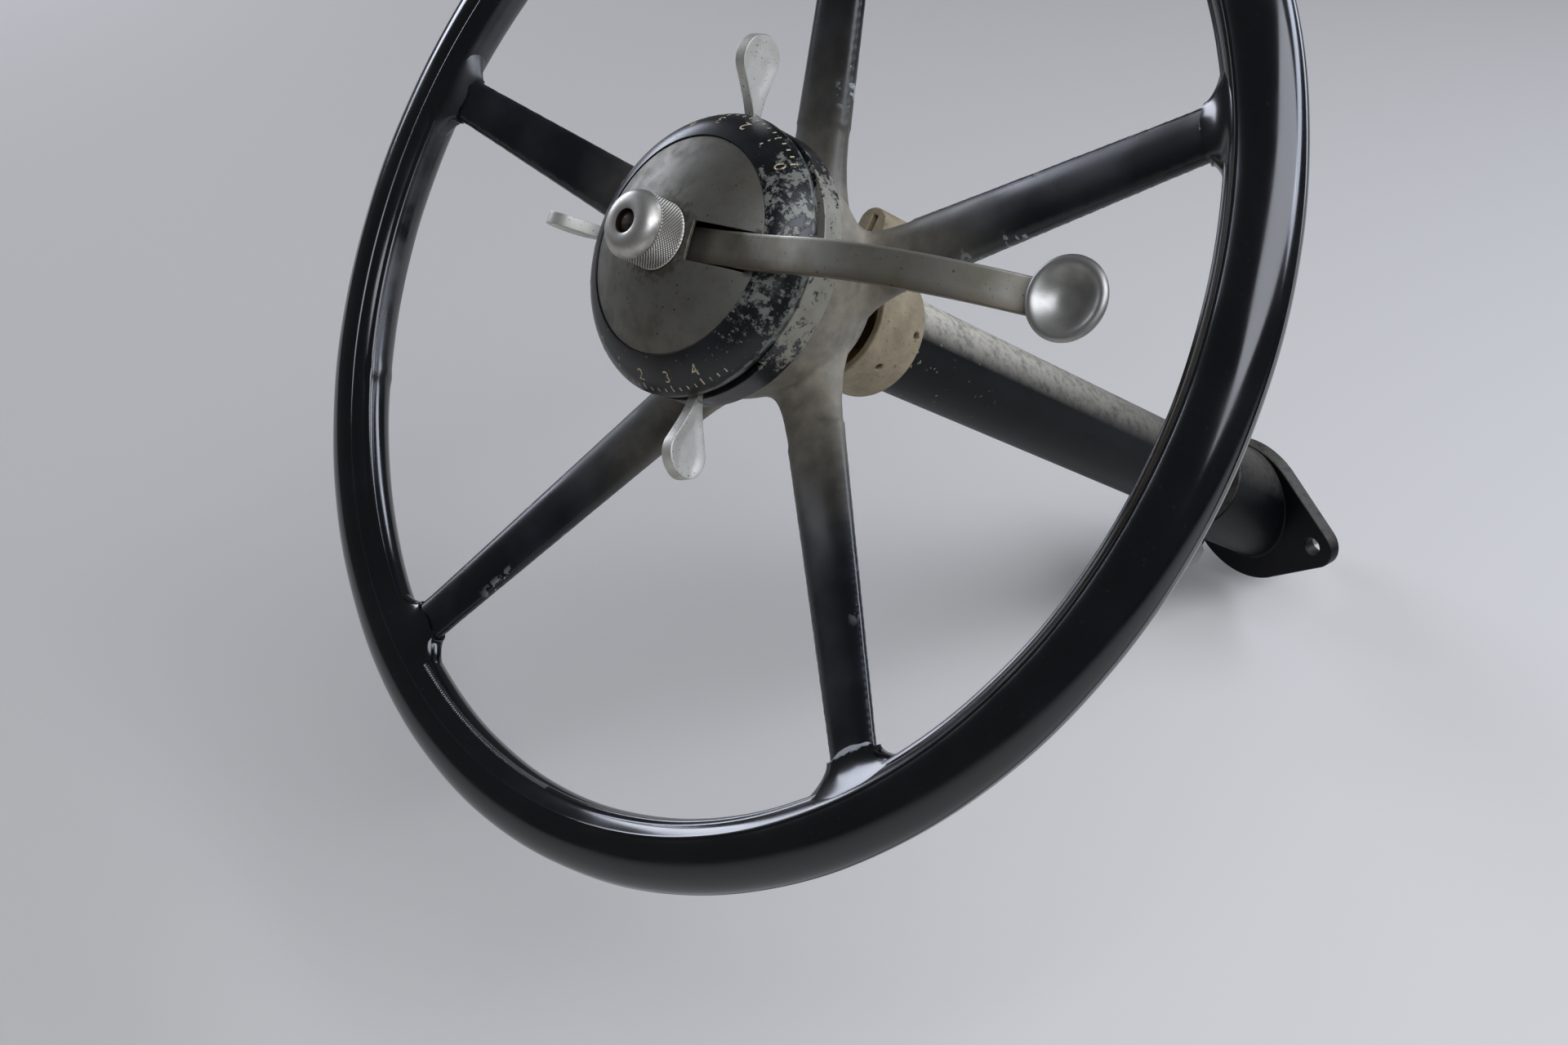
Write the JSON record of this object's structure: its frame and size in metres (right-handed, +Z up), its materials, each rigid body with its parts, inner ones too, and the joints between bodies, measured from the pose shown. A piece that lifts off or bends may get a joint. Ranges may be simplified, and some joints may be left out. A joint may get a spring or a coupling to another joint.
{
  "type": "steering wheel with hand controls and column head",
  "caption": "Dished black steering wheel with a fixed control head, hand levers, a long cupped lever and a flanged column.",
  "frame": {"origin": "where the column's axis crosses the flange's mounting face, midway between its two bolt holes", "axes": "+X to the driver's right, +Y forward out of the flange's mounting face into the bulkhead, +Z up; the column leans back 35 degrees towards the driver"},
  "size_m": [0.43, 0.503, 0.4438],
  "materials": {
    "rim_black": "moulded hard rubber, polished by use",
    "black_enamel": "worn stove enamel",
    "column_enamel": "dusty satin enamel",
    "collar_paint": "aged beige paint",
    "nickel": "dull nickel plate with stains",
    "bright_nickel": "polished nickel plate",
    "steel": "turned steel",
    "bronze": "bearing bronze",
    "dark_plug": "matt black"
  },
  "bodies": {
    "column": {"stator_tube": "steel", "column_jacket": "column_enamel", "column_collar": "collar_paint", "upper_bush": "bronze", "lower_bush": "bronze", "bulkhead_flange": "column_enamel", "clamp_bolt": "steel", "clamp_nut": "steel", "head_base": "black_enamel", "head_bezel": "black_enamel", "face_disc": "nickel", "knob": "nickel", "knob_plug": "dark_plug", "long_lever": "nickel", "lever_cup": "bright_nickel"},
    "wheel": {"rim": "rim_black", "spider": "black_enamel", "steering_shaft": "steel"},
    "throttle": {"throttle_lever": "bright_nickel"},
    "choke": {"choke_lever": "bright_nickel"},
    "spark": {"spark_lever": "bright_nickel"}
  },
  "joints": [
    {"name": "wheel_turn", "type": "hinge", "parent": "column", "child": "wheel", "pos_m": [0, -0.29817, 0.20878], "axis": [0, -0.8192, 0.5736], "range_deg": [-450, 450]},
    {"name": "throttle_swing", "type": "hinge", "parent": "column", "child": "throttle", "pos_m": [0, -0.32668, 0.22874], "axis": [0, -0.8192, 0.5736], "range_deg": [-70, 6]},
    {"name": "choke_swing", "type": "hinge", "parent": "column", "child": "choke", "pos_m": [0, -0.32406, 0.22691], "axis": [0, -0.8192, 0.5736], "range_deg": [-50, 28]},
    {"name": "spark_swing", "type": "hinge", "parent": "column", "child": "spark", "pos_m": [0, -0.32144, 0.22507], "axis": [0, -0.8192, 0.5736], "range_deg": [-33, 34]}
  ]
}
